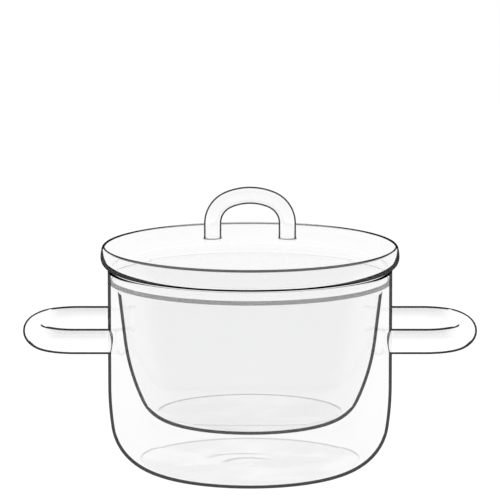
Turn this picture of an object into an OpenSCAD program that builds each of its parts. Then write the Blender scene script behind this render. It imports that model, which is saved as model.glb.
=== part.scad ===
// Double-walled glass pan with two looped side handles and a loose glass lid.
// Millimetres, +Z up. The origin is on the table, at the middle of the pan's base,
// and +X runs out through the right handle.

/* [Outer vessel] */
// Outside diameter of the vessel
vessel_d = 200; // [180:1:240]
// Height of the rim above the table
vessel_h = 144; // [130:1:190]
// Thickness of the vessel's wall and base
vessel_wall = 2.2; // [1.8:0.1:3]
// Radius of the round corner under the vessel
vessel_corner_r = 36; // [24:1:44]
// Angle that this corner turns, from the base up to the slow curve
vessel_corner_turn = 81.5; // [76:0.5:88]
// Radius of the slow curve that leads from the corner into the upright wall
vessel_curve_r = 200; // [120:5:260]

/* [Inner bowl] */
// Thickness of the bowl's wall and floor
bowl_wall = 2.2; // [1.8:0.1:2.8]
// Air space between the vessel's base and the bowl's floor
bowl_lift = 34.3; // [20:0.5:44]
// Radius of the round corner under the bowl
bowl_corner_r = 23.5; // [16:0.5:32]
// Angle that this corner turns, from the floor up to the bowl's curved side
bowl_corner_turn = 65; // [58:1:72]
// Radius of the bowl's curved side
bowl_side_r = 145; // [110:5:170]
// Lean of the bowl's straight upper side, from upright
bowl_lean = 6.75; // [4:0.25:9]
// Air space between the vessel's wall and the top of the bowl's straight side
bowl_gap = 4.5; // [4:0.1:6]
// Radius of the shoulder that flares from the bowl out to the vessel's wall
shoulder_r = 7; // [6.5:0.5:9]

/* [Seam and vent] */
// Depth of the middle of the fused seam under the rim
seam_drop = 7.6; // [7.4:0.1:12]
// Height of the fused seam where it meets the vessel's wall
seam_h = 3; // [2.9:0.1:4]
// Thickness of the fused seam, from the vessel's wall to the bowl's lip
seam_t = 2.2; // [1.6:0.1:3]
// Diameter of the vent hole in the middle of the vessel's base
vent_d = 5; // [3:0.5:8]
// Diameter of the glass bead that closes the vent
vent_bead_d = 9; // [9:0.5:14]
// Height of that bead above the inside of the base
vent_bead_h = 2.2; // [1.5:0.1:3.5]
// Depth of the bead's stem above the table, so that it never carries the pan
vent_recess = 0.5; // [0.3:0.1:1.2]

/* [Side handles] */
// Diameter of the handle's glass tube
handle_tube_d = 17.7; // [12:0.1:20]
// Wall of that tube
handle_tube_wall = 1.4; // [1:0.1:2.5]
// Height of the handle's centreline above the table
handle_z = 99.8; // [85:0.1:115]
// Distance between the centres of one handle's two legs
handle_spread = 88.6; // [76:0.1:100]
// Distance from the vessel's wall out to the centreline of the handle's bow
handle_reach = 50.9; // [44:0.1:60]
// Radius of the bends between the legs and the bow
handle_corner_r = 25.3; // [20:0.1:30]
// Radius of the bow
handle_bow_r = 77; // [70:1:84]

/* [Lid] */
// How far the widest ring of the lid reaches out past the vessel's wall
lid_overhang = 5; // [3:0.5:25]
// Thickness of the lid's glass
lid_wall = 2; // [1.5:0.1:2.2]
// Radius of the lid's round lower edge
lid_lower_r = 8; // [6:0.1:9]
// Radius of the lid's side above its widest ring
lid_side_r = 23.5; // [18:0.5:30]
// Angle that this side leans in before the top edge
lid_side_turn = 15; // [10:1:20]
// Radius of the lid's top edge
lid_edge_r = 2.5; // [2.4:0.1:4]
// Radius of the lid's shallow dome
lid_dome_r = 1000; // [600:10:1500]
// Height of the collar that drops into the mouth
collar_h = 4.2; // [3:0.1:4.4]
// Thickness of the collar
collar_wall = 2; // [1.6:0.1:2.4]
// Play between the collar and the mouth, all round
collar_play = 1; // [0.6:0.1:1.5]
// Gap between the rim and the lid that rests on it
seat_gap = 0.3; // [0.2:0.05:0.6]

/* [Lid loop] */
// Diameter of the loop's glass tube
loop_tube_d = 12.2; // [9:0.1:14]
// Wall of that tube
loop_tube_wall = 1.5; // [1:0.1:2]
// Distance between the centres of the loop's two legs
loop_spread = 52.4; // [46:0.1:58]
// Height of the loop's centreline above the crown of the dome
loop_rise = 30.2; // [28:0.1:36]
// Radius of the bends between the legs and the bow
loop_corner_r = 18.2; // [15:0.1:20]
// Radius of the bow
loop_bow_r = 38.6; // [35:0.1:42]

/* [Welds] */
// How far a weld spreads round the leg that it holds
weld_spread = 0.9; // [0.5:0.1:1.5]
// How far a weld climbs up that leg
weld_rise = 1.6; // [1:0.1:2.5]
// Number of steps that draw a weld's hollow slope
weld_steps = 2; // [1:1:3]

/* [Hidden] */
$fn = 120;

// Straight steps that each arc of an outline is drawn with
arc_steps = 12;
// Sides of a handle's tube, and its rings along each bend and along the bow
tube_sides = 24;
bend_steps = 8;
bow_steps = 12;
// How far cuts run past what they cut
overrun = 1;

// Vessel: the corner's centre is over the edge of the flat foot, and the slow
// curve's centre is level with the foot of the upright wall.
vessel_r = vessel_d / 2;
mouth_r = vessel_r - vessel_wall;
vessel_curve_z = vessel_corner_r + (vessel_curve_r - vessel_corner_r) * cos(vessel_corner_turn);
foot_r = vessel_r - vessel_curve_r
    + (vessel_curve_r - vessel_corner_r) * sin(vessel_corner_turn);
rim_r = vessel_wall / 2;

// Seam: it fills the ring between the bowl's lip and the vessel's wall.
seam_z = vessel_h - seam_drop;
seam_inner_r = mouth_r - seam_t;

// Bowl: the shoulder is centred outside the bowl, and the rest hangs from it.
shoulder_x = mouth_r - bowl_gap + shoulder_r * cos(bowl_lean);
lip_offset = shoulder_x - seam_inner_r;
lip_under = sqrt(pow(shoulder_r, 2) - pow(lip_offset, 2));
lip_over = sqrt(pow(shoulder_r + bowl_wall, 2) - pow(lip_offset, 2));
shoulder_z = seam_z - (lip_under + lip_over) / 2;
flank_top = [shoulder_x, shoulder_z] - shoulder_r * [cos(bowl_lean), -sin(bowl_lean)];
bowl_floor_z = vessel_wall + bowl_lift;
flank_foot_z = bowl_floor_z + bowl_corner_r * (1 - cos(bowl_corner_turn))
    + bowl_side_r * (cos(bowl_corner_turn) - sin(bowl_lean));
flank_foot_x = flank_top.x - (flank_top.y - flank_foot_z) * tan(bowl_lean);
bowl_side_centre = [flank_foot_x, flank_foot_z] - bowl_side_r * [cos(bowl_lean), -sin(bowl_lean)];
bowl_corner_centre = bowl_side_centre
    + (bowl_side_r - bowl_corner_r) * [sin(bowl_corner_turn), -cos(bowl_corner_turn)];

// Vent: the bead is a cap of a sphere.
vent_bead_r = vent_bead_d / 2;
vent_sphere_r = (pow(vent_bead_r, 2) + pow(vent_bead_h, 2)) / (2 * vent_bead_h);

// Lid: the ledge rests over the rim, and each arc ends where the next begins.
lid_r = vessel_r + lid_overhang;
ledge_z = vessel_h + seat_gap;
collar_outer_r = mouth_r - collar_play;
collar_inner_r = collar_outer_r - collar_wall;
collar_z = ledge_z - collar_h;
lid_widest_z = ledge_z + lid_lower_r;
lid_edge_centre = [lid_r - lid_side_r, lid_widest_z]
    + (lid_side_r - lid_edge_r) * [cos(lid_side_turn), sin(lid_side_turn)];
dome_turn = asin(lid_edge_centre.x / (lid_dome_r - lid_edge_r));
dome_centre_z = lid_edge_centre.y - (lid_dome_r - lid_edge_r) * cos(dome_turn);
crown_z = dome_centre_z + lid_dome_r;

// Points of an arc round a centre; first = 1 leaves out its first point.
function arc(centre, r, from, to, first = 0) = [
    for (i = [first : arc_steps])
        let (a = from + (to - from) * i / arc_steps)
            centre + r * [cos(a), sin(a)]
];

function backwards(points) = [for (i = [len(points) - 1 : -1 : 0]) points[i]];

// Each side below runs up the outline at the given depth inside the glass.
function vessel_side(inset) = concat(
    arc([foot_r, vessel_corner_r], vessel_corner_r - inset, -90, vessel_corner_turn - 90),
    arc([vessel_r - vessel_curve_r, vessel_curve_z], vessel_curve_r - inset,
        vessel_corner_turn - 90, 0, 1)
);

function bowl_side(inset) = concat(
    arc(bowl_corner_centre, bowl_corner_r - inset, -90, bowl_corner_turn - 90),
    arc(bowl_side_centre, bowl_side_r - inset, bowl_corner_turn - 90, -bowl_lean, 1),
    arc([shoulder_x, shoulder_z], shoulder_r + inset, 180 - bowl_lean,
        acos(-lip_offset / (shoulder_r + inset)))
);

function lid_side(inset) = concat(
    arc([lid_r - lid_lower_r, lid_widest_z], lid_lower_r - inset, -90, 0),
    arc([lid_r - lid_side_r, lid_widest_z], lid_side_r - inset, 0, lid_side_turn, 1),
    arc(lid_edge_centre, lid_edge_r - inset, lid_side_turn, 90 - dome_turn, 1),
    arc([0, dome_centre_z], lid_dome_r - inset, 90 - dome_turn, 90, 1)
);

// The outer jacket: a cylinder with a round base, a fire-polished rim and a vent hole.
module outer_vessel() {
    color("whitesmoke")
        difference() {
            rotate_extrude()
                polygon(concat(
                    [[0, 0]],
                    vessel_side(0),
                    arc([vessel_r - rim_r, vessel_h - rim_r], rim_r, 0, 180),
                    backwards(vessel_side(vessel_wall)),
                    [[0, vessel_wall]]
                ));
            translate([0, 0, -overrun])
                cylinder(d = vent_d, h = vessel_wall + 2 * overrun);
        }
}

// The bowl that holds the food, hung inside the jacket by its flared lip.
module inner_bowl() {
    color("gainsboro")
        rotate_extrude()
            polygon(concat(
                [[0, bowl_floor_z]],
                bowl_side(0),
                backwards(bowl_side(bowl_wall)),
                [[0, bowl_floor_z + bowl_wall]]
            ));
}

// The ring of fused glass between the bowl's lip and the jacket's wall.
module rim_seam() {
    color("darkgray")
        rotate_extrude()
            polygon([
                [seam_inner_r, shoulder_z + lip_under],
                [mouth_r, seam_z - seam_h / 2],
                [mouth_r, seam_z + seam_h / 2],
                [seam_inner_r, shoulder_z + lip_over]
            ]);
}

// The bead that closes the vent, with a stem that fills the hole.
module vent_seal() {
    bead_turn = asin(vent_bead_r / vent_sphere_r);
    color("lightgray")
        rotate_extrude()
            polygon(concat(
                [[0, vent_recess], [vent_d / 2, vent_recess], [vent_d / 2, vessel_wall]],
                arc([0, vessel_wall + vent_bead_h - vent_sphere_r], vent_sphere_r,
                    90 - bead_turn, 90)
            ));
}

// The centreline of a loop in the XZ plane: a bend, the bow and a bend, from the
// +X leg round to the -X leg. Each ring holds its x, its z and the way it faces.
function loop_rings(spread, corner_r, bow_r, crest) =
    let (
        corner_x = spread / 2 - corner_r,
        turn = acos(corner_x / (bow_r - corner_r)),
        bow_z = crest - bow_r,
        corner_z = bow_z + (bow_r - corner_r) * sin(turn),
        right = [for (i = [0 : bend_steps]) turn * i / bend_steps],
        bow = [for (i = [1 : bow_steps - 1]) turn + (180 - 2 * turn) * i / bow_steps]
    )
    concat(
        [for (a = right) [corner_x + corner_r * cos(a), corner_z + corner_r * sin(a), a]],
        [for (a = bow) [bow_r * cos(a), bow_z + bow_r * sin(a), a]],
        [for (a = backwards(right))
            [-corner_x - corner_r * cos(a), corner_z + corner_r * sin(a), 180 - a]]
    );

// The points of one skin of the tube. Its two legs run straight down to the surface
// whose height at x, y the function foot gives.
function loop_skin(rings, r, foot) =
    let (
        last = len(rings) - 1,
        around = [for (i = [0 : tube_sides - 1]) 360 * i / tube_sides],
        leg = function (ring) [
            for (b = around)
                let (x = ring.x + r * cos(b) * cos(ring.z), y = r * sin(b))
                    [x, y, foot(x, y)]
        ]
    )
    concat(
        leg(rings[0]),
        [for (ring = rings, b = around) [
            ring.x + r * cos(b) * cos(ring.z),
            r * sin(b),
            ring.y + r * cos(b) * sin(ring.z)
        ]],
        leg(rings[last])
    );

// A loop of hollow glass tube in the XZ plane, with both legs cut to fit the foot.
module tube_loop(d, wall, rings, foot) {
    n = tube_sides;
    turns = len(rings) + 1;
    inner = n * (turns + 1);
    polyhedron(
        concat(loop_skin(rings, d / 2, foot), loop_skin(rings, d / 2 - wall, foot)),
        concat(
            [for (t = [0 : turns - 1], i = [0 : n - 1])
                let (j = (i + 1) % n) [t * n + i, t * n + j, (t + 1) * n + j, (t + 1) * n + i]],
            [for (t = [0 : turns - 1], i = [0 : n - 1])
                let (j = (i + 1) % n) inner * [1, 1, 1, 1]
                    + [t * n + j, t * n + i, (t + 1) * n + i, (t + 1) * n + j]],
            [for (i = [0 : n - 1])
                let (j = (i + 1) % n) [j, i, inner + i, inner + j]],
            [for (i = [0 : n - 1])
                let (j = (i + 1) % n)
                    turns * n * [1, 1, 1, 1] + [i, j, inner + j, inner + i]]
        )
    );
}

// A side handle in its own frame, lying level with its bow towards +X.
module side_handle() {
    rings = loop_rings(handle_spread, handle_corner_r, handle_bow_r, vessel_r + handle_reach);
    wall = function (x, y) sqrt(pow(vessel_r, 2) - pow(x, 2));
    translate([0, 0, handle_z])
        rotate([90, 0, 90])
            tube_loop(handle_tube_d, handle_tube_wall, rings, wall);
}

// The two welds of a side handle: rings round the legs that hug the jacket's wall.
module side_handle_welds() {
    leg_r = handle_tube_d / 2;
    for (side = [-1, 1])
        difference() {
            for (step = [1 : weld_steps])
                intersection() {
                    translate([0, side * handle_spread / 2, handle_z])
                        rotate([0, 90, 0])
                            cylinder(r = leg_r + weld_spread * (1 - (step - 1) / weld_steps),
                                h = vessel_r + weld_rise);
                    cylinder(r = vessel_r + weld_rise * step / weld_steps, h = vessel_h);
                }
            cylinder(r = vessel_r, h = vessel_h);
            translate([0, side * handle_spread / 2, handle_z])
                rotate([0, 90, 0])
                    cylinder(r = leg_r, h = vessel_r + weld_rise + overrun);
        }
}

module handle_right() {
    color("whitesmoke") side_handle();
}

module handle_left() {
    color("whitesmoke") mirror([1, 0, 0]) side_handle();
}

module handle_right_welds() {
    color("lightgray") side_handle_welds();
}

module handle_left_welds() {
    color("lightgray") mirror([1, 0, 0]) side_handle_welds();
}

// The lid's blown cover: shallow dome, round side and the ledge that rests on the rim.
module lid_dome() {
    color("whitesmoke")
        rotate_extrude()
            polygon(concat(
                [[collar_inner_r, ledge_z]],
                lid_side(0),
                backwards(lid_side(lid_wall)),
                [[collar_inner_r, ledge_z + lid_wall]]
            ));
}

// The short collar that centres the lid in the mouth, with a fire-polished lip.
module lid_collar() {
    lip_r = collar_wall / 2;
    color("lightgray")
        rotate_extrude()
            polygon(concat(
                [[collar_outer_r, ledge_z], [collar_inner_r, ledge_z]],
                arc([collar_outer_r - lip_r, collar_z + lip_r], lip_r, -180, 0)
            ));
}

// Everything under the dome's outer skin, which the welds of the loop are cut to.
module under_dome() {
    rotate_extrude()
        polygon(concat([[0, ledge_z]], lid_side(0)));
}

module lid_loop() {
    rings = loop_rings(loop_spread, loop_corner_r, loop_bow_r, crown_z + loop_rise);
    dome = function (x, y)
        dome_centre_z + sqrt(pow(lid_dome_r, 2) - pow(x, 2) - pow(y, 2));
    color("whitesmoke")
        tube_loop(loop_tube_d, loop_tube_wall, rings, dome);
}

// The two welds of the loop: small hollow slopes between its legs and the dome.
module lid_loop_welds() {
    leg_r = loop_tube_d / 2;
    color("lightgray")
        for (side = [-1, 1])
            difference() {
                translate([side * loop_spread / 2, 0, crown_z - lid_wall])
                    cylinder(r1 = leg_r + weld_spread + lid_wall, r2 = leg_r,
                        h = lid_wall + weld_rise);
                translate([side * loop_spread / 2, 0, crown_z - lid_wall - overrun])
                    cylinder(r = leg_r, h = lid_wall + weld_rise + 2 * overrun);
                under_dome();
            }
}

outer_vessel();
inner_bowl();
rim_seam();
vent_seal();
handle_left();
handle_right();
handle_left_welds();
handle_right_welds();
lid_dome();
lid_collar();
lid_loop();
lid_loop_welds();
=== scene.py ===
"""Looks of the double-walled glass pan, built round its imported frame.

Metres, +Z up, with the origin on the table at the middle of the pan's base and +X out
through the right handle. Outlines are drawn in millimetres, as in the part's source.
"""

import math

import bmesh
import bpy
from mathutils import Matrix, Vector


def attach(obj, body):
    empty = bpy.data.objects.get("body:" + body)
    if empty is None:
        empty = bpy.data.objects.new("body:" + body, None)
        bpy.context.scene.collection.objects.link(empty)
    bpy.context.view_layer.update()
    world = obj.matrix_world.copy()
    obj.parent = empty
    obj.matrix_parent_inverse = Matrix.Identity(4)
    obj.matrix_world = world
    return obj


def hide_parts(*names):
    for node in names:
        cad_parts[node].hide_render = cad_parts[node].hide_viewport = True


MM = 0.001
# Faces round a full turn of a blown piece, and round a drawn tube
ROUND_STEPS = 180
TUBE_STEPS = 48
# Length of the first and last step of a straight run, which keeps its shading flat
HOLD = 0.4
# Share of a tube's straight leg that is drawn in one step
LEG_STEP = 0.8
# Angle between two faces from which the edge between them stays sharp
SHARP_FROM = 35
# Hair of air between two pieces that touch, so that no two faces lie in one place
HAIR = 0.03

# Sizes in millimetres and degrees, as in the part's source
# Vessel
VESSEL_R = 100.0
VESSEL_H = 144.0
VESSEL_WALL = 2.2
VESSEL_CORNER_R = 36.0
VESSEL_CORNER_TURN = 81.5
VESSEL_CURVE_R = 200.0
VENT_R = 2.5
# Bowl
BOWL_WALL = 2.2
BOWL_LIFT = 34.3
BOWL_CORNER_R = 23.5
BOWL_CORNER_TURN = 65.0
BOWL_SIDE_R = 145.0
BOWL_LEAN = 6.75
BOWL_GAP = 4.5
SHOULDER_R = 7.0
# Seam and vent
SEAM_DROP = 7.6
SEAM_H = 3.0
SEAM_T = 2.2
VENT_BEAD_R = 4.5
VENT_BEAD_H = 2.2
VENT_RECESS = 0.5
# Side handles
HANDLE_TUBE_R = 8.85
HANDLE_TUBE_WALL = 1.4
HANDLE_Z = 99.8
HANDLE_SPREAD = 88.6
HANDLE_REACH = 50.9
HANDLE_CORNER_R = 25.3
HANDLE_BOW_R = 77.0
# Lid
LID_R = 105.0
LID_WALL = 2.0
LID_LOWER_R = 8.0
LID_SIDE_R = 23.5
LID_SIDE_TURN = 15.0
LID_EDGE_R = 2.5
LID_DOME_R = 1000.0
COLLAR_H = 4.2
COLLAR_WALL = 2.0
COLLAR_PLAY = 1.0
SEAT_GAP = 0.3
# Lid loop
LOOP_TUBE_R = 6.1
LOOP_TUBE_WALL = 1.5
LOOP_SPREAD = 52.4
LOOP_RISE = 30.2
LOOP_CORNER_R = 18.2
LOOP_BOW_R = 38.6
# Welds
WELD_SPREAD = 0.9
WELD_RISE = 1.6
WELD_LIP = 0.12

# Looks: lengths are in millimetres, and a slant is 0 for a face seen head-on and 1 edge-on
# Glass: its index, how aslant a skin is where its tint turns from front to side, and how
# much it mirrors where light grazes it and where light is trapped inside the wall
GLASS_IOR = 1.47
TINT_TURN = (0.28, 0.5)
GRAZING = (0.5, 0.75)
TRAPPED = (0.9, 0.99)
# Floors: clouds of about 42 mm, ripples 20 mm apart that calm down between two distances
# from their middle, and the width of the fine ring and the slants between which it goes
CLOUD_SCALE = 24.0
RIPPLE_SCALE = 16.0
RIPPLE_R = 12.0
CALM_R = 28.0
RING_WIDTH = 1.4
RING_FADE = (0.225, 0.25)
# Height at which the bowl's outline ends, under the flare of its lip
BOWL_LINE_TOP = 129.5
# Join of a handle's leg with the jacket: how far out it lies, how it bows, its thin line,
# and how far the jacket's own outline keeps from the weld
JOIN = 95.4
JOIN_BOW_R = 20.0
JOIN_LINE = 0.7
FOOT_MARGIN = 0.3
# Outline of a handle: it starts past the join, follows the legs and the outer side of the
# bends, and round the bow only what lies outside its centreline, or just inside it
HANDLE_LINE_FROM = 97.0
LEG_LINE_END = 139.0
BEND_LINE_Y = 34.0
CREST_DEPTH = 0.7
# Soft shade on top of a handle: how it starts round the join, and where it fades out
TOP_SHADE_START = (-2.0, 5.0)
TOP_SHADE_FADE = 132.0
TOP_SHADE_END = 146.0
# Grip, over the crown of the lid: where its shade starts and is full, and the top of the
# grey line under its feet
GRIP_SHADE_START = 6.0
GRIP_SHADE_FULL = 20.0
FOOT_LINE_TOP = 0.5
# Tint of the lid's round side: how far in from the widest place it starts and is full
SIDE_TINT_START = 3.5
SIDE_TINT_FULL = 2.5
# Dark crescents on the lid's side: how far over the ledge they start to narrow, and the
# slants past which the side is dark there, at its widest place and just under the dome
CRESCENT_FOOT = 4.2
CRESCENT_SLANTS = (0.48, 0.69, 0.83)
# Line where the side turns into the dome: its lowest and highest place in the inner skin
# and in the outer one, over the centre of the round edge
INNER_LINE = (-0.5, 0.52)
OUTER_LINE = (1.95, 2.47)
# Line along the lid's back edge: the slant at which it has no width, how fast it widens,
# the slant from which it shows, and those between which it fades
BACK_LINE_FROM = 0.835
BACK_LINE_GROWTH = 98.0
BACK_LINE_START = 0.82
BACK_LINE_FADE = (0.926, 0.9335)

# Sockets of a Mix node that takes colours: the two colours, and what comes out
COLOR_A = 6
COLOR_B = 7
COLOR_OUT = 2
# Studio, in metres but for the drop that keeps the table off the pan's base
TABLE_R = 12
TABLE_DROP = 0.2
PAN_MIDDLE = (0, 0, 0.08)


def cos(degrees):
    return math.cos(math.radians(degrees))


def sin(degrees):
    return math.sin(math.radians(degrees))


# Derived places, worked out as in the part's source
MOUTH_R = VESSEL_R - VESSEL_WALL
RIM_R = VESSEL_WALL / 2
CURVE_X = VESSEL_R - VESSEL_CURVE_R
CURVE_Z = VESSEL_CORNER_R + (VESSEL_CURVE_R - VESSEL_CORNER_R) * cos(VESSEL_CORNER_TURN)
FOOT_R = CURVE_X + (VESSEL_CURVE_R - VESSEL_CORNER_R) * sin(VESSEL_CORNER_TURN)
SEAM_Z = VESSEL_H - SEAM_DROP
SEAM_INNER_R = MOUTH_R - SEAM_T
SHOULDER_X = MOUTH_R - BOWL_GAP + SHOULDER_R * cos(BOWL_LEAN)
LIP_OFFSET = SHOULDER_X - SEAM_INNER_R
LIP_UNDER = math.sqrt(SHOULDER_R**2 - LIP_OFFSET**2)
LIP_OVER = math.sqrt((SHOULDER_R + BOWL_WALL) ** 2 - LIP_OFFSET**2)
SHOULDER_Z = SEAM_Z - (LIP_UNDER + LIP_OVER) / 2
BOWL_FLOOR_Z = VESSEL_WALL + BOWL_LIFT
FLANK_TOP_X = SHOULDER_X - SHOULDER_R * cos(BOWL_LEAN)
FLANK_TOP_Z = SHOULDER_Z + SHOULDER_R * sin(BOWL_LEAN)
FLANK_FOOT_Z = (
    BOWL_FLOOR_Z
    + BOWL_CORNER_R * (1 - cos(BOWL_CORNER_TURN))
    + BOWL_SIDE_R * (cos(BOWL_CORNER_TURN) - sin(BOWL_LEAN))
)
FLANK_FOOT_X = FLANK_TOP_X - (FLANK_TOP_Z - FLANK_FOOT_Z) * sin(BOWL_LEAN) / cos(BOWL_LEAN)
BOWL_SIDE_X = FLANK_FOOT_X - BOWL_SIDE_R * cos(BOWL_LEAN)
BOWL_SIDE_Z = FLANK_FOOT_Z + BOWL_SIDE_R * sin(BOWL_LEAN)
BOWL_CORNER_X = BOWL_SIDE_X + (BOWL_SIDE_R - BOWL_CORNER_R) * sin(BOWL_CORNER_TURN)
BOWL_CORNER_Z = BOWL_SIDE_Z - (BOWL_SIDE_R - BOWL_CORNER_R) * cos(BOWL_CORNER_TURN)
LEDGE_Z = VESSEL_H + SEAT_GAP
COLLAR_OUTER_R = MOUTH_R - COLLAR_PLAY
COLLAR_INNER_R = COLLAR_OUTER_R - COLLAR_WALL
WIDEST_Z = LEDGE_Z + LID_LOWER_R
EDGE_X = LID_R - LID_SIDE_R + (LID_SIDE_R - LID_EDGE_R) * cos(LID_SIDE_TURN)
EDGE_Z = WIDEST_Z + (LID_SIDE_R - LID_EDGE_R) * sin(LID_SIDE_TURN)
DOME_TURN = math.degrees(math.asin(EDGE_X / (LID_DOME_R - LID_EDGE_R)))
DOME_Z = EDGE_Z - (LID_DOME_R - LID_EDGE_R) * cos(DOME_TURN)
CROWN_Z = DOME_Z + LID_DOME_R


# Outlines and skins


def start_outline(x, z):
    """A new mesh that holds the first point of an outline in the XZ plane."""
    bm = bmesh.new()
    return bm, bm.verts.new((x, 0, z))


def turn(bm, tip, x, z, degrees, steps=16):
    """Swings the outline's tip round x, z, from +X towards +Z, and returns the new tip."""
    swung = bmesh.ops.spin(
        bm, geom=[tip], cent=(x, 0, z), axis=(0, -1, 0),
        angle=math.radians(degrees), steps=steps, use_duplicate=False,
    )
    return next(v for v in swung["geom_last"] if isinstance(v, bmesh.types.BMVert))


def run(bm, tip, x, z):
    """Draws the outline straight on to x, z, with a short step at each end."""
    start, end = tip.co.copy(), tip.co.copy()
    end.x, end.z = x, z
    length = (end - start).length
    stops = [HOLD / length, 1 - HOLD / length, 1] if length > 3 * HOLD else [1]
    for stop in stops:
        tip = bmesh.ops.extrude_vert_indiv(bm, verts=[tip])["verts"][0]
        tip.co = start.lerp(end, stop)
    return tip


def blow(bm):
    """Turns the whole outline about the upright axis into a closed skin."""
    bmesh.ops.spin(
        bm, geom=bm.verts[:] + bm.edges[:], cent=(0, 0, 0), axis=(0, 0, 1),
        angle=2 * math.pi, steps=ROUND_STEPS, use_merge=True, use_duplicate=False,
    )
    bmesh.ops.remove_doubles(bm, verts=bm.verts, dist=HAIR / 100)


def finish_piece(bm, name, body, nodes, glass):
    """Makes the drawn mesh a smooth, closed piece in metres that stands for its node."""
    bmesh.ops.recalc_face_normals(bm, faces=bm.faces)
    bmesh.ops.scale(bm, vec=(MM, MM, MM), verts=bm.verts)
    mesh = bpy.data.meshes.new(name)
    bm.to_mesh(mesh)
    bm.free()
    for face in mesh.polygons:
        face.use_smooth = True
    mesh.set_sharp_from_angle(angle=math.radians(SHARP_FROM))
    mesh.materials.append(glass)
    piece = bpy.data.objects.new(name, mesh)
    bpy.context.scene.collection.objects.link(piece)
    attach(piece, body)
    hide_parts(*nodes)


# Blown pieces


def vessel_skin():
    """The jacket: up its outside, over the fire-polished rim and down its inside."""
    bm, first = start_outline(VENT_R, 0)
    tip = run(bm, first, FOOT_R, 0)
    tip = turn(bm, tip, FOOT_R, VESSEL_CORNER_R, VESSEL_CORNER_TURN, 32)
    tip = turn(bm, tip, CURVE_X, CURVE_Z, 90 - VESSEL_CORNER_TURN, 8)
    tip = run(bm, tip, VESSEL_R, VESSEL_H - RIM_R)
    tip = turn(bm, tip, VESSEL_R - RIM_R, VESSEL_H - RIM_R, 180)
    tip = run(bm, tip, MOUTH_R, CURVE_Z)
    tip = turn(bm, tip, CURVE_X, CURVE_Z, VESSEL_CORNER_TURN - 90, 8)
    tip = turn(bm, tip, FOOT_R, VESSEL_CORNER_R, -VESSEL_CORNER_TURN, 32)
    tip = run(bm, tip, VENT_R, VESSEL_WALL)
    bm.edges.new((tip, first))
    blow(bm)
    return bm


def bowl_skin():
    """The bowl: up its outside to the flared lip, and back down its inside."""
    shoulder_end = 180 - math.degrees(math.acos(LIP_OFFSET / SHOULDER_R))
    inner_end = 180 - math.degrees(math.acos(LIP_OFFSET / (SHOULDER_R + BOWL_WALL)))
    bm, tip = start_outline(0, BOWL_FLOOR_Z)
    tip = run(bm, tip, BOWL_CORNER_X, BOWL_FLOOR_Z)
    tip = turn(bm, tip, BOWL_CORNER_X, BOWL_CORNER_Z, BOWL_CORNER_TURN, 24)
    tip = turn(bm, tip, BOWL_SIDE_X, BOWL_SIDE_Z, 90 - BOWL_LEAN - BOWL_CORNER_TURN, 12)
    tip = run(bm, tip, FLANK_TOP_X, FLANK_TOP_Z)
    tip = turn(bm, tip, SHOULDER_X, SHOULDER_Z, shoulder_end - 180 + BOWL_LEAN, 12)
    tip = run(bm, tip, SEAM_INNER_R, SHOULDER_Z + LIP_OVER)
    tip = turn(bm, tip, SHOULDER_X, SHOULDER_Z, 180 - BOWL_LEAN - inner_end, 12)
    inner_foot_x = BOWL_SIDE_X + (BOWL_SIDE_R - BOWL_WALL) * cos(BOWL_LEAN)
    inner_foot_z = BOWL_SIDE_Z - (BOWL_SIDE_R - BOWL_WALL) * sin(BOWL_LEAN)
    tip = run(bm, tip, inner_foot_x, inner_foot_z)
    tip = turn(bm, tip, BOWL_SIDE_X, BOWL_SIDE_Z, BOWL_CORNER_TURN + BOWL_LEAN - 90, 12)
    tip = turn(bm, tip, BOWL_CORNER_X, BOWL_CORNER_Z, -BOWL_CORNER_TURN, 24)
    run(bm, tip, 0, BOWL_FLOOR_Z + BOWL_WALL)
    blow(bm)
    return bm


def seam_skin():
    """The fused ring between the bowl's lip and the jacket's wall."""
    inner, outer = SEAM_INNER_R + HAIR, MOUTH_R - HAIR
    bm, first = start_outline(inner, SHOULDER_Z + LIP_UNDER)
    tip = run(bm, first, outer, SEAM_Z - SEAM_H / 2)
    tip = run(bm, tip, outer, SEAM_Z + SEAM_H / 2)
    tip = run(bm, tip, inner, SHOULDER_Z + LIP_OVER)
    bm.edges.new((tip, first))
    blow(bm)
    return bm


def vent_skin():
    """The bead that closes the vent: a stem in the hole under a low round cap."""
    ball_r = (VENT_BEAD_R**2 + VENT_BEAD_H**2) / (2 * VENT_BEAD_H)
    cap_turn = math.degrees(math.asin(VENT_BEAD_R / ball_r))
    stem_r, cap_z = VENT_R - HAIR, VESSEL_WALL + HAIR
    bm, tip = start_outline(0, VENT_RECESS)
    tip = run(bm, tip, stem_r, VENT_RECESS)
    tip = run(bm, tip, stem_r, cap_z)
    tip = run(bm, tip, VENT_BEAD_R, cap_z)
    turn(bm, tip, 0, cap_z + VENT_BEAD_H - ball_r, cap_turn)
    blow(bm)
    return bm


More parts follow.
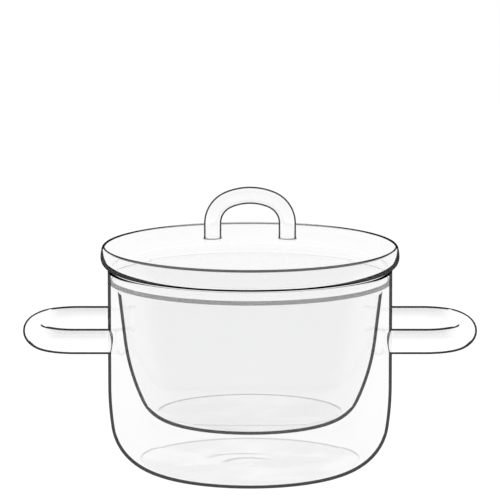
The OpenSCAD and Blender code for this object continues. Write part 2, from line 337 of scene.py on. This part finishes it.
def lid_skin():
    """The lid's cover: out along the ledge, up its round side and over the dome."""
    edge_turn = 90 - DOME_TURN - LID_SIDE_TURN
    bm, first = start_outline(COLLAR_INNER_R, LEDGE_Z)
    tip = run(bm, first, LID_R - LID_LOWER_R, LEDGE_Z)
    tip = turn(bm, tip, LID_R - LID_LOWER_R, WIDEST_Z, 90, 24)
    tip = turn(bm, tip, LID_R - LID_SIDE_R, WIDEST_Z, LID_SIDE_TURN, 6)
    tip = turn(bm, tip, EDGE_X, EDGE_Z, edge_turn, 16)
    tip = turn(bm, tip, 0, DOME_Z, DOME_TURN, 16)
    tip = bmesh.ops.extrude_vert_indiv(bm, verts=[tip])["verts"][0]
    tip.co.z = CROWN_Z - LID_WALL
    tip = turn(bm, tip, 0, DOME_Z, -DOME_TURN, 16)
    tip = turn(bm, tip, EDGE_X, EDGE_Z, -edge_turn, 16)
    tip = turn(bm, tip, LID_R - LID_SIDE_R, WIDEST_Z, -LID_SIDE_TURN, 6)
    tip = turn(bm, tip, LID_R - LID_LOWER_R, WIDEST_Z, -90, 24)
    tip = run(bm, tip, COLLAR_INNER_R, LEDGE_Z + LID_WALL)
    bm.edges.new((tip, first))
    axis = [e for e in bm.edges if all(abs(v.co.x) < HAIR for v in e.verts)]
    bmesh.ops.delete(bm, geom=axis, context="EDGES")
    blow(bm)
    return bm


def collar_skin():
    """The lid's collar, with a round lip at its foot."""
    lip_r = COLLAR_WALL / 2
    lip_z = LEDGE_Z - COLLAR_H + lip_r
    bm, first = start_outline(COLLAR_INNER_R, LEDGE_Z - HAIR)
    tip = run(bm, first, COLLAR_INNER_R, lip_z)
    tip = turn(bm, tip, COLLAR_INNER_R + lip_r, lip_z, 180)
    tip = run(bm, tip, COLLAR_OUTER_R, LEDGE_Z - HAIR)
    bm.edges.new((tip, first))
    blow(bm)
    return bm


# Drawn tubes and welds


def jacket_height(x, y):
    """Height of the jacket's wall under a handle that stands up from it."""
    return math.sqrt(VESSEL_R**2 - x**2) + HAIR


def dome_height(x, y):
    """Height of the lid's dome at x, y."""
    return DOME_Z + math.sqrt(LID_DOME_R**2 - x**2 - y**2) + HAIR


def tube_skin(spread, corner_r, bow_r, crest, tube_r, wall, foot):
    """A loop of hollow tube in the XZ plane: a leg, a bend, the bow, a bend and a leg."""
    corner_x = spread / 2 - corner_r
    bend = math.degrees(math.acos(corner_x / (bow_r - corner_r)))
    bow_z = crest - bow_r
    corner_z = bow_z + (bow_r - corner_r) * sin(bend)
    low_z = foot(0, 0)
    leg = corner_z - low_z
    stretches = (leg * LEG_STEP, leg * (1 - LEG_STEP) - HOLD, HOLD)
    bm = bmesh.new()
    for radius in (tube_r, tube_r - wall):
        bmesh.ops.create_circle(bm, segments=TUBE_STEPS, radius=radius)
    bmesh.ops.translate(bm, vec=(spread / 2, 0, low_z), verts=bm.verts)
    first = bm.verts[:]
    ring = bm.edges[:]
    for height in stretches:
        ring = lengthen(bm, ring, height)
    for x, z, degrees, steps in (
        (corner_x, corner_z, bend, 16),
        (0, bow_z, 180 - 2 * bend, 28),
        (-corner_x, corner_z, bend, 16),
    ):
        swung = bmesh.ops.spin(
            bm, geom=ring, cent=(x, 0, z), axis=(0, -1, 0),
            angle=math.radians(degrees), steps=steps, use_duplicate=False,
        )
        ring = [e for e in swung["geom_last"] if isinstance(e, bmesh.types.BMEdge)]
    for height in reversed(stretches):
        ring = lengthen(bm, ring, -height)
    last = list({v for e in ring for v in e.verts})
    for vert in first + last:
        vert.co.z = foot(vert.co.x, vert.co.y)
    for end in (first, last):
        at_end = set(end)
        edges = [e for e in bm.edges if e.verts[0] in at_end and e.verts[1] in at_end]
        bmesh.ops.bridge_loops(bm, edges=edges)
    return bm


def lengthen(bm, ring, height):
    """Draws the tube's open end straight on by this height, and returns the new end."""
    drawn = bmesh.ops.extrude_edge_only(bm, edges=ring)["geom"]
    bmesh.ops.translate(
        bm, vec=(0, 0, height), verts=[g for g in drawn if isinstance(g, bmesh.types.BMVert)]
    )
    return [g for g in drawn if isinstance(g, bmesh.types.BMEdge)]


def weld_skin(spread, tube_r, foot):
    """Two rings of glass with hollow slopes, melted round the feet of a tube's legs."""
    leg_r = tube_r + HAIR
    whole = bmesh.new()
    for side in (-1, 1):
        bm, first = start_outline(leg_r, 0)
        tip = run(bm, first, leg_r + WELD_SPREAD, 0)
        tip = run(bm, tip, leg_r + WELD_SPREAD, WELD_LIP)
        tip = turn(bm, tip, leg_r + WELD_SPREAD, WELD_SPREAD, -90, 8)
        tip = run(bm, tip, leg_r, tip.co.z)
        bm.edges.new((tip, first))
        blow(bm)
        bmesh.ops.scale(bm, vec=(1, 1, WELD_RISE / WELD_SPREAD), verts=bm.verts)
        bmesh.ops.translate(bm, vec=(side * spread / 2, 0, 0), verts=bm.verts)
        for vert in bm.verts:
            vert.co.z += foot(vert.co.x, vert.co.y)
        ring = bpy.data.meshes.new("ring")
        bm.to_mesh(ring)
        bm.free()
        whole.from_mesh(ring)
        bpy.data.meshes.remove(ring)
    return whole


def lay_sideways(bm, side):
    """Lays an upright loop level at the handles' height, with its bow to that side."""
    level = Matrix(((0, 0, side, 0), (1, 0, 0, 0), (0, 1, 0, HANDLE_Z), (0, 0, 0, 1)))
    bmesh.ops.transform(bm, matrix=level, verts=bm.verts)
    return bm


# Finishes


def tone(code):
    """A colour written as an sRGB hex code, turned to linear with alpha."""
    parts = [int(code[i : i + 2], 16) / 255 for i in (1, 3, 5)]
    return tuple(
        c / 12.92 if c <= 0.04045 else ((c + 0.055) / 1.055) ** 2.4 for c in parts
    ) + (1.0,)


def add(tree, kind, settings=None, links=None):
    """Adds one node. settings has its fields and inputs, links what feeds its inputs."""
    node = tree.nodes.new(kind)
    for name, value in (settings or {}).items():
        if isinstance(name, str) and hasattr(node, name):
            setattr(node, name, value)
        else:
            node.inputs[name].default_value = value
    for name, source in (links or {}).items():
        tree.links.new(source, node.inputs[name])
    return node


def mask(tree, operation, a, b=0.0):
    """A node that compares or combines two numbers or sockets."""
    numbers = {i: v for i, v in ((0, a), (1, b)) if isinstance(v, (int, float))}
    sockets = {i: v for i, v in ((0, a), (1, b)) if not isinstance(v, (int, float))}
    return add(
        tree, "ShaderNodeMath", {"operation": operation, **numbers}, sockets
    ).outputs[0]


def product(tree, first, *others):
    """All these numbers or sockets multiplied, so that a mask holds where each one does."""
    for other in others:
        first = mask(tree, "MULTIPLY", first, other)
    return first


def inverse(tree, share):
    """What a share leaves: 1 where it is 0, and 0 where it is 1."""
    return mask(tree, "SUBTRACT", 1.0, share)


def blend(tree, share, a, b):
    """A colour that goes from a to b with share. Each is a hex code or a socket."""
    codes = {i: tone(v) for i, v in ((COLOR_A, a), (COLOR_B, b)) if isinstance(v, str)}
    sockets = {i: v for i, v in ((COLOR_A, a), (COLOR_B, b)) if not isinstance(v, str)}
    return add(
        tree, "ShaderNodeMix", {"data_type": "RGBA", **codes}, {0: share, **sockets}
    ).outputs[COLOR_OUT]


def soft_step(tree, value, low, high):
    """A number that climbs smoothly from 0 at low to 1 at high."""
    return add(
        tree, "ShaderNodeMapRange",
        {"interpolation_type": "SMOOTHSTEP", "From Min": low, "From Max": high},
        {"Value": value},
    ).outputs["Result"]


def climb(tree, value, low, high, start, end):
    """A number that climbs evenly from start, at low millimetres, to end, at high ones."""
    return add(
        tree, "ShaderNodeMapRange",
        {"From Min": low * MM, "From Max": high * MM, "To Min": start, "To Max": end},
        {"Value": value},
    ).outputs["Result"]


def between(tree, value, low, high):
    """1 where a distance lies between low and high millimetres, else 0."""
    above = mask(tree, "GREATER_THAN", value, low * MM)
    return product(tree, above, mask(tree, "LESS_THAN", value, high * MM))


def diagonal(tree, a, b):
    """The distance that lies a one way and b square to it."""
    squares = mask(tree, "ADD", product(tree, a, a), product(tree, b, b))
    return mask(tree, "SQRT", squares)


def object_place(tree):
    """The place of a point on the object, as one vector in metres."""
    return add(tree, "ShaderNodeTexCoord").outputs["Object"]


def level_place(tree):
    """The same place, pressed flat onto the table."""
    return add(
        tree, "ShaderNodeVectorMath", {"operation": "MULTIPLY", 1: (1, 1, 0)},
        {0: object_place(tree)},
    ).outputs[0]


def spot(tree):
    """Where a point lies on the object: its x, y, z and its distance from the axis."""
    axes = add(tree, "ShaderNodeSeparateXYZ", None, {0: object_place(tree)}).outputs
    reach = add(
        tree, "ShaderNodeVectorMath", {"operation": "LENGTH"}, {0: level_place(tree)}
    ).outputs["Value"]
    return axes[0], axes[1], axes[2], reach


def within_skins(tree, count):
    """1 on the first skins of glass that the eye meets, up to this many, else 0."""
    depth = add(tree, "ShaderNodeLightPath").outputs["Ray Depth"]
    return mask(tree, "LESS_THAN", depth, count - 0.5)


def glass_finish(
    name, front, side, line, layers, bite=0.2, sheen=0.03,
    where=None, detail=None, shade=None, fused=None,
):
    """Clear borosilicate, IOR 1.47.

    front and side are its tint seen head-on and seen aslant, and line is the tone of its
    dark outline, painted shade where light is trapped inside the wall. bite is how slanting
    that light has to be, and layers how many skins of glass may lie between the eye and the
    outline before it goes. sheen is the most that the wall's two faces mirror.

    where limits the outline to part of the piece, and detail changes the tint over its
    surface. shade darkens places of its outer skin that are seen aslant. fused marks skin
    that is melted to another piece, where light goes straight on.
    """
    finish = bpy.data.materials.new(name)
    finish.use_nodes = True
    tree = finish.node_tree
    tree.nodes.clear()
    back = add(tree, "ShaderNodeNewGeometry").outputs["Backfacing"]
    mirror = add(tree, "ShaderNodeFresnel", {"IOR": GLASS_IOR}).outputs["Fac"]
    aslant = add(tree, "ShaderNodeLayerWeight", {"Blend": 0.5}).outputs["Facing"]
    body = blend(tree, soft_step(tree, aslant, *TINT_TURN), front, side)
    if detail:
        body = detail(tree, body, back, aslant)

    # Light that leaves the glass: bent, or painted dark and then straight on where it is
    # trapped
    trapped = soft_step(tree, mirror, *TRAPPED)
    outline = product(
        tree, trapped, within_skins(tree, layers + 1),
        soft_step(tree, aslant, bite, bite + 0.01),
    )
    if where:
        outline = product(tree, outline, where(tree))
    bent = add(
        tree, "ShaderNodeBsdfRefraction", {"Roughness": 0.0, "IOR": GLASS_IOR},
        {"Color": body},
    ).outputs[0]
    straight = add(tree, "ShaderNodeBsdfTransparent").outputs[0]
    passed = add(tree, "ShaderNodeMixShader", None, {0: trapped, 1: bent, 2: straight})
    dark = add(
        tree, "ShaderNodeBsdfGlass",
        {"Color": tone(line), "Roughness": 0.0, "IOR": GLASS_IOR},
    )
    leaving = add(
        tree, "ShaderNodeMixShader", None,
        {0: outline, 1: passed.outputs[0], 2: dark.outputs[0]},
    )

    # Light that enters it: a held-back gloss of both faces of the wall over the bent view
    both_faces = product(tree, mirror, mask(tree, "SUBTRACT", 2.0, mirror))
    grazing = soft_step(tree, mirror, *GRAZING)
    share = product(tree, mask(tree, "MINIMUM", both_faces, sheen), inverse(tree, grazing))
    tinted = body
    if shade:
        shaded = shade(tree, aslant)
        share = product(tree, share, inverse(tree, shaded))
        tinted = blend(tree, shaded, body, line)
    gloss = add(tree, "ShaderNodeBsdfGlossy", {"Color": tone("#ffffff"), "Roughness": 0.0})
    entered = add(
        tree, "ShaderNodeBsdfRefraction", {"Roughness": 0.0, "IOR": GLASS_IOR},
        {"Color": tinted},
    )
    entering = add(
        tree, "ShaderNodeMixShader", None,
        {0: share, 1: entered.outputs[0], 2: gloss.outputs[0]},
    )

    surface = add(
        tree, "ShaderNodeMixShader", None,
        {0: back, 1: entering.outputs[0], 2: leaving.outputs[0]},
    )
    clear = add(tree, "ShaderNodeBsdfTransparent", None, {"Color": body})
    passing = add(tree, "ShaderNodeLightPath").outputs["Is Shadow Ray"]
    if fused:
        passing = mask(tree, "MAXIMUM", passing, fused(tree))
    lit = add(
        tree, "ShaderNodeMixShader", None,
        {0: passing, 1: surface.outputs[0], 2: clear.outputs[0]},
    )
    add(tree, "ShaderNodeOutputMaterial", None, {"Surface": lit.outputs[0]})
    return finish


def ripple_tint(tree, cloudy_floor_shade, place):
    """Rings of streaks on a floor: clear bands with thin grey troughs.

    They lie round place, and fade into the floor's tint round them.
    """
    away = add(
        tree, "ShaderNodeVectorMath",
        {"operation": "DISTANCE", 1: [c * MM for c in place]}, {0: level_place(tree)},
    ).outputs["Value"]
    wave = add(
        tree, "ShaderNodeTexWave",
        {
            "wave_type": "RINGS", "rings_direction": "Z", "Scale": RIPPLE_SCALE,
            "Distortion": 2.5, "Detail": 1.0, "Detail Scale": 1.0,
        },
        {"Vector": level_place(tree)},
    ).outputs["Fac"]
    rippled = blend(tree, soft_step(tree, wave, 0.0, 0.3), "#ececec", "#ffffff")
    calm = soft_step(tree, away, RIPPLE_R * MM, CALM_R * MM)
    return blend(tree, calm, rippled, cloudy_floor_shade)


def floor_detail(ring_r, ring_top, disc, ring, skins, ripples=None):
    """Tints a blown floor: a disc with soft clouds, a hair line round its edge, and ripples.

    The line is painted shade, where the flat floor turns into its corner. It lies in the outer
    skin, under ring_top, and shows only from inside, where the eye looks through that many
    skins.
    ripples is the middle of the rings of streaks, if the floor has any.
    """

    def detail(tree, body, back, aslant):
        _, _, z, reach = spot(tree)
        cloud = add(
            tree, "ShaderNodeTexNoise",
            {"Scale": CLOUD_SCALE, "Detail": 1.0, "Distortion": 0.4},
            {"Vector": object_place(tree)},
        ).outputs["Fac"]
        # Painted shade: the flat floor is tinted darker than the wall, mottled by soft noise
        # clouds
        cloudy_floor_shade = blend(tree, soft_step(tree, cloud, 0.35, 0.7), disc, "#ffffff")
        if ripples:
            cloudy_floor_shade = ripple_tint(tree, cloudy_floor_shade, ripples)
        flat = inverse(tree, soft_step(tree, reach, (ring_r - 1) * MM, ring_r * MM))
        tinted = add(
            tree, "ShaderNodeMix", {"data_type": "RGBA", "blend_type": "MULTIPLY"},
            {0: flat, COLOR_A: body, COLOR_B: cloudy_floor_shade},
        ).outputs[COLOR_OUT]
        half = RING_WIDTH / 2
        # Painted shade: a hair line where the flat floor turns into its corner
        line = product(
            tree, between(tree, reach, ring_r - half, ring_r + half),
            mask(tree, "LESS_THAN", z, ring_top * MM), back,
            inverse(tree, within_skins(tree, skins)),
            inverse(tree, soft_step(tree, aslant, *RING_FADE)),
        )
        return blend(tree, line, tinted, ring)

    return detail


def past_join(tree):
    """How far a point lies out from where a handle's leg melts into the jacket."""
    x, _, z, _ = spot(tree)
    rise = mask(tree, "SUBTRACT", z, HANDLE_Z * MM)
    bow = mask(tree, "DIVIDE", product(tree, rise, rise), 2 * JOIN_BOW_R * MM)
    out = mask(tree, "SUBTRACT", mask(tree, "ABSOLUTE", x), bow)
    return mask(tree, "SUBTRACT", out, JOIN * MM)


def melted_root(tree):
    """The part of a handle's leg that is melted to the jacket, and its end."""
    return mask(tree, "LESS_THAN", past_join(tree), 0.0)


def all_over(tree):
    """The whole skin of a weld, which has melted into the pieces beside it."""
    return 1.0


def handle_detail(tree, body, back, aslant):
    """Shades a handle softly along its top, and draws a faint bowed line at its join.

    Past that line the leg is melted to the jacket, and only its sides show, faintly.
    """
    out = mask(tree, "ABSOLUTE", spot(tree)[0])
    past = past_join(tree)
    facing = add(tree, "ShaderNodeTexCoord").outputs["Normal"]
    upward = add(tree, "ShaderNodeSeparateXYZ", None, {0: facing}).outputs[2]
    shaded = product(
        tree, soft_step(tree, upward, -0.1, 0.9), within_skins(tree, 1),
        inverse(tree, soft_step(tree, out, TOP_SHADE_FADE * MM, TOP_SHADE_END * MM)),
        soft_step(tree, past, *(place * MM for place in TOP_SHADE_START)),
    )
    body = blend(tree, shaded, body, "#e6e6e6")
    root_side = product(tree, melted_root(tree), soft_step(tree, aslant, 0.5, 0.9))
    body = blend(tree, root_side, body, "#fafafa")
    line = product(tree, within_skins(tree, 1), between(tree, past, 0.0, JOIN_LINE))
    return blend(tree, line, body, "#505050")


def grip_detail(tree, body, back, aslant):
    """Shades the middle of the lid's grip softly, where its tube is clear of the lid."""
    z = spot(tree)[2]
    middle = inverse(tree, soft_step(tree, aslant, 0.02, 0.45))
    low, high = CROWN_Z + GRIP_SHADE_START, CROWN_Z + GRIP_SHADE_FULL
    raised = soft_step(tree, z, low * MM, high * MM)
    shaded = product(tree, middle, raised, within_skins(tree, 1))
    return blend(tree, shaded, body, "#f5f5f5")


def foot_detail(tree, body, back, aslant):
    """Draws a thin grey line under each foot of the grip, low in the weld's hollow slope."""
    z = spot(tree)[2]
    low = mask(tree, "LESS_THAN", z, (CROWN_Z + FOOT_LINE_TOP) * MM)
    facing = inverse(tree, soft_step(tree, aslant, 0.6, 0.8))
    line = product(tree, low, facing, within_skins(tree, 1))
    return blend(tree, line, body, "#d0d0d0")


def lid_detail(tree, body, back, aslant):
    """Leaves the lid's dome and ledge clear, so that only its round side is tinted."""
    inner, outer = LID_R - SIDE_TINT_START, LID_R - SIDE_TINT_FULL
    side = soft_step(tree, spot(tree)[3], inner * MM, outer * MM)
    return blend(tree, side, "#fdfdfd", body)


def seam_detail(tree, body, back, aslant):
    """A cloud of grey where the seam meets the jacket, which hardly shows from inside."""
    outer = mask(tree, "GREATER_THAN", spot(tree)[3], (MOUTH_R - 1) * MM)
    return blend(tree, product(tree, outer, inverse(tree, back)), body, "#a0a0a0")


def below_shoulder(tree):
    """Keeps the bowl's outline to its straight side, under the flare of its lip."""
    return mask(tree, "LESS_THAN", spot(tree)[2], BOWL_LINE_TOP * MM)


def clear_of_legs(tree):
    """Keeps the jacket's outline off the feet of the handles' legs."""
    _, y, z, _ = spot(tree)
    aside = mask(tree, "SUBTRACT", mask(tree, "ABSOLUTE", y), HANDLE_SPREAD / 2 * MM)
    rise = mask(tree, "SUBTRACT", z, HANDLE_Z * MM)
    foot_r = HANDLE_TUBE_R + WELD_SPREAD + FOOT_MARGIN
    return mask(tree, "GREATER_THAN", diagonal(tree, aside, rise), foot_r * MM)


def handle_outline(tree):
    """Keeps a handle's outline off its root and off the inside of its bow.

    The root is melted to the jacket, and the bow is too thick with glass for a line.
    """
    x, y, _, _ = spot(tree)
    out = mask(tree, "ABSOLUTE", x)
    clear = mask(tree, "GREATER_THAN", out, HANDLE_LINE_FROM * MM)
    leg = mask(tree, "LESS_THAN", out, LEG_LINE_END * MM)
    aside = mask(tree, "GREATER_THAN", mask(tree, "ABSOLUTE", y), BEND_LINE_Y * MM)
    bow_x = VESSEL_R + HANDLE_REACH - HANDLE_BOW_R
    from_bow = diagonal(tree, mask(tree, "SUBTRACT", out, bow_x * MM), y)
    crest = mask(tree, "GREATER_THAN", from_bow, (HANDLE_BOW_R - CREST_DEPTH) * MM)
    keep = mask(tree, "MAXIMUM", mask(tree, "MAXIMUM", leg, aside), crest)
    return product(tree, clear, keep)


def side_crescents(tree, aslant):
    """Dark crescents round the lid's side, broader low down."""
    z = spot(tree)[2]
    foot, widest, top = CRESCENT_SLANTS
    low = climb(tree, z, LEDGE_Z + CRESCENT_FOOT, WIDEST_Z, foot, widest)
    high = climb(tree, z, WIDEST_Z, EDGE_Z + 2, 0.0, top - widest)
    past = mask(tree, "SUBTRACT", aslant, mask(tree, "ADD", low, high))
    under_dome = mask(tree, "LESS_THAN", z, (EDGE_Z + LID_EDGE_R - 0.1) * MM)
    return product(tree, soft_step(tree, past, 0.0, 0.03), under_dome, within_skins(tree, 1))


def top_edge_line(tree, aslant):
    """A line where the lid's side turns into the dome.

    It lies in the inner skin, and runs out in the outer one, where that is seen aslant.
    """
    _, _, z, reach = spot(tree)
    rise = mask(tree, "SUBTRACT", z, EDGE_Z * MM)
    inner = product(
        tree, between(tree, rise, *INNER_LINE), within_skins(tree, 3),
        mask(tree, "LESS_THAN", reach, (EDGE_X + 1.5) * MM),
    )
    ends = product(
        tree, between(tree, rise, *OUTER_LINE), within_skins(tree, 1),
        soft_step(tree, aslant, 0.45, 0.55),
    )
    return mask(tree, "MAXIMUM", inner, ends)


def back_edge_line(tree, aslant):
    """A line along the dome's back edge, broader where the dome turns from the eye."""
    reach = spot(tree)[3]
    width = product(tree, mask(tree, "SUBTRACT", aslant, BACK_LINE_FROM), BACK_LINE_GROWTH * MM)
    edge = mask(tree, "GREATER_THAN", mask(tree, "ADD", reach, width), EDGE_X * MM)
    turned = mask(tree, "GREATER_THAN", aslant, BACK_LINE_START)
    fading = inverse(tree, soft_step(tree, aslant, *BACK_LINE_FADE))
    return product(tree, edge, turned, fading, within_skins(tree, 1))


def edge_shade(tree, aslant):
    """Every dark line and crescent of the lid's round edge."""
    lines = mask(tree, "MAXIMUM", top_edge_line(tree, aslant), back_edge_line(tree, aslant))
    return mask(tree, "MAXIMUM", side_crescents(tree, aslant), lines)


def rim_shade(tree, aslant):
    """A dark line round the jacket's rim, where its round edge turns from the eye."""
    edge = mask(tree, "GREATER_THAN", spot(tree)[2], (VESSEL_H - RIM_R) * MM)
    return product(tree, edge, soft_step(tree, aslant, 0.35, 0.6), within_skins(tree, 1))


def seen_light(tree):
    """1 for light that meets the eye directly, in a gloss or through glass, else 0."""
    path = add(tree, "ShaderNodeLightPath").outputs
    direct = mask(tree, "MAXIMUM", path["Is Camera Ray"], path["Is Glossy Ray"])
    return mask(tree, "MAXIMUM", direct, path["Is Transmission Ray"])


def soft_box(name, place, size, power):
    """A large soft lamp that faces the middle of the pan and shows in no reflection."""
    lamp = bpy.data.lights.new(name, "AREA")
    lamp.shape = "RECTANGLE"
    lamp.size, lamp.size_y = size
    lamp.energy = power
    box = bpy.data.objects.new(name, lamp)
    box.location = place
    toward = Vector(PAN_MIDDLE) - Vector(place)
    box.rotation_euler = toward.to_track_quat("-Z", "Y").to_euler()
    box.visible_glossy = False
    box.visible_transmission = False
    bpy.context.scene.collection.objects.link(box)


# The scene

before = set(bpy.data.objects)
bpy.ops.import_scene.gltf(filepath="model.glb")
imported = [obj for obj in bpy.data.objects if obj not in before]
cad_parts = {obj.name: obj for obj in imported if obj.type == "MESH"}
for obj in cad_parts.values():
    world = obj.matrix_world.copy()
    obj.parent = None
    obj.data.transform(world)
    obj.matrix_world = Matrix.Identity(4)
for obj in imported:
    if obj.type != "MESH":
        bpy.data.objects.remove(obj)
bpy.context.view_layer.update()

# Jacket: thin blown wall, nearly colourless, with dark outlines and a streaky base
jacket_glass = glass_finish(
    "blown_borosilicate_jacket", "#fcfcfc", "#fdfdfd", "#383838", 1,
    where=clear_of_legs, shade=rim_shade,
    detail=floor_detail(
        ring_r=78.9, ring_top=5.2, disc="#fbfbfb", ring="#d8d8d8", skins=3,
        ripples=(-8, 26, 0),
    ),
)
# Bowl: the same wall seen through the jacket, a touch greyer, with a clean floor
bowl_glass = glass_finish(
    "blown_borosilicate_bowl", "#fcfcfc", "#ffffff", "#3c3c3c", 12, where=below_shoulder,
    detail=floor_detail(
        ring_r=66.1, ring_top=40.2, disc="#fcfcfc", ring="#d0d0d0", skins=5
    ),
)
# Seam: bowl and jacket melted together, a cloudy grey band seen through the jacket
seam_glass = glass_finish(
    "fused_borosilicate_seam", "#fcfcfc", "#fcfcfc", "#ffffff", 0, detail=seam_detail
)
# Welds of the handles: glass melted smooth into both pieces, so it hardly shows
bead_glass = glass_finish(
    "melted_borosilicate_bead", "#ffffff", "#fafafa", "#ffffff", 0, fused=all_over
)
# Vent bead: a drop melted shut in the flame, with a pale outline
drop_glass = glass_finish("melted_borosilicate_drop", "#ffffff", "#fafafa", "#d0d0d0", 1)
# Welds of the grip: melted smooth too, with a thin grey line where they meet the lid
foot_glass = glass_finish(
    "melted_borosilicate_foot", "#ffffff", "#f4f4f4", "#ffffff", 0,
    detail=foot_detail, fused=all_over,
)
# Handles: drawn tube, clear in the middle, with crisp near-black outlines
tube_glass = glass_finish(
    "drawn_borosilicate_tube", "#ffffff", "#fefefe", "#101010", 1,
    where=handle_outline, detail=handle_detail, fused=melted_root,
)
# Grip of the lid: thinner drawn tube, with faint painted shade in its middle and softer
# outlines
grip_glass = glass_finish(
    "drawn_borosilicate_grip", "#ffffff", "#fefefe", "#404040", 1, bite=0.31,
    detail=grip_detail,
)
# Lid: blown and glossy, so that its dome mirrors the white studio
lid_glass = glass_finish(
    "blown_borosilicate_lid", "#fafafa", "#fdfdfd", "#404040", 1, bite=0.34, sheen=0.6,
    detail=lid_detail, shade=edge_shade,
)
# Collar: clear, and kept faint, as it hangs out of sight in the mouth
collar_glass = glass_finish("blown_borosilicate_collar", "#fefefe", "#fefefe", "#fefefe", 0)

finish_piece(vessel_skin(), "jacket", "pan", ["outer_vessel"], jacket_glass)
finish_piece(bowl_skin(), "bowl", "pan", ["inner_bowl"], bowl_glass)
finish_piece(seam_skin(), "seam_band", "pan", ["rim_seam"], seam_glass)
finish_piece(vent_skin(), "vent_bead", "pan", ["vent_seal"], drop_glass)
for word, side in (("left", -1), ("right", 1)):
    tube = tube_skin(
        HANDLE_SPREAD, HANDLE_CORNER_R, HANDLE_BOW_R, VESSEL_R + HANDLE_REACH,
        HANDLE_TUBE_R, HANDLE_TUBE_WALL, jacket_height,
    )
    finish_piece(
        lay_sideways(tube, side), f"{word}_handle", "pan", [f"handle_{word}"],
        tube_glass,
    )
    rings = weld_skin(HANDLE_SPREAD, HANDLE_TUBE_R, jacket_height)
    finish_piece(
        lay_sideways(rings, side), f"{word}_handle_welds", "pan",
        [f"handle_{word}_welds"], bead_glass,
    )
finish_piece(lid_skin(), "lid_cover", "lid", ["lid_dome"], lid_glass)
finish_piece(collar_skin(), "lid_ring", "lid", ["lid_collar"], collar_glass)
grip = tube_skin(
    LOOP_SPREAD, LOOP_CORNER_R, LOOP_BOW_R, CROWN_Z + LOOP_RISE,
    LOOP_TUBE_R, LOOP_TUBE_WALL, dome_height,
)
finish_piece(grip, "lid_grip", "lid", ["lid_loop"], grip_glass)
grip_rings = weld_skin(LOOP_SPREAD, LOOP_TUBE_R, dome_height)
finish_piece(
    grip_rings, "lid_grip_welds", "lid", ["lid_loop_welds"], foot_glass
)

# Camera: a long lens 3.3 m away, looking 9.6 degrees down
lens = bpy.data.cameras.new("camera")
lens.lens = 332.8
lens.sensor_width = 36
lens.clip_end = 100
camera = bpy.data.objects.new("camera", lens)
camera.location = (0, -3.2, 0.6973)
camera.rotation_euler = (math.radians(80.412), 0, 0)
bpy.context.scene.collection.objects.link(camera)
bpy.context.scene.camera = camera

# Floor: a white studio table that keeps a faint shadow
floor_bm = bmesh.new()
bmesh.ops.create_circle(floor_bm, cap_ends=True, segments=96, radius=TABLE_R)
bmesh.ops.translate(floor_bm, vec=(0, 0, -TABLE_DROP * MM), verts=floor_bm.verts)
floor_mesh = bpy.data.meshes.new("studio_table")
floor_bm.to_mesh(floor_mesh)
floor_bm.free()
floor = bpy.data.objects.new("studio_table", floor_mesh)
bpy.context.scene.collection.objects.link(floor)

# Matt white board, which glows to the eye so that it runs into the white backdrop
table_finish = bpy.data.materials.new("matt_white_table")
table_finish.use_nodes = True
tree = table_finish.node_tree
tree.nodes.clear()
paper = add(tree, "ShaderNodeBsdfDiffuse", {"Color": tone("#f2f2f2")})
shadow_keeper = add(tree, "ShaderNodeBsdfDiffuse", {"Color": tone("#6a6a6a")})
glow = add(tree, "ShaderNodeEmission", {"Strength": 0.92})
white = add(
    tree, "ShaderNodeAddShader", None, {0: shadow_keeper.outputs[0], 1: glow.outputs[0]}
)
mixed = add(
    tree, "ShaderNodeMixShader", None,
    {0: seen_light(tree), 1: paper.outputs[0], 2: white.outputs[0]},
)
add(tree, "ShaderNodeOutputMaterial", None, {"Surface": mixed.outputs[0]})
floor_mesh.materials.append(table_finish)

# World: white for the eye, for reflections and through glass, and a soft grey fill
world = bpy.data.worlds.new("studio")
bpy.context.scene.world = world
world.use_nodes = True
tree = world.node_tree
tree.nodes.clear()
fill = add(tree, "ShaderNodeBackground", {"Color": tone("#e8eaec"), "Strength": 0.6})
backdrop = add(tree, "ShaderNodeBackground", {"Color": tone("#ffffff"), "Strength": 1.0})
mixed = add(
    tree, "ShaderNodeMixShader", None,
    {0: seen_light(tree), 1: fill.outputs[0], 2: backdrop.outputs[0]},
)
add(tree, "ShaderNodeOutputWorld", None, {"Surface": mixed.outputs[0]})

soft_box("key_box", (-1.6, -1.2, 2.2), (1.6, 1.6), 28)
soft_box("fill_box", (1.9, -0.9, 1.6), (1.4, 1.8), 16)
soft_box("top_box", (0, 0.6, 2.6), (2.0, 1.2), 16)

settings = bpy.context.scene
settings.view_settings.view_transform = "Standard"
# Light crosses up to a dozen skins of glass before it leaves the pan
settings.cycles.max_bounces = 32
settings.cycles.transmission_bounces = 32
settings.cycles.glossy_bounces = 16
settings.cycles.transparent_max_bounces = 32
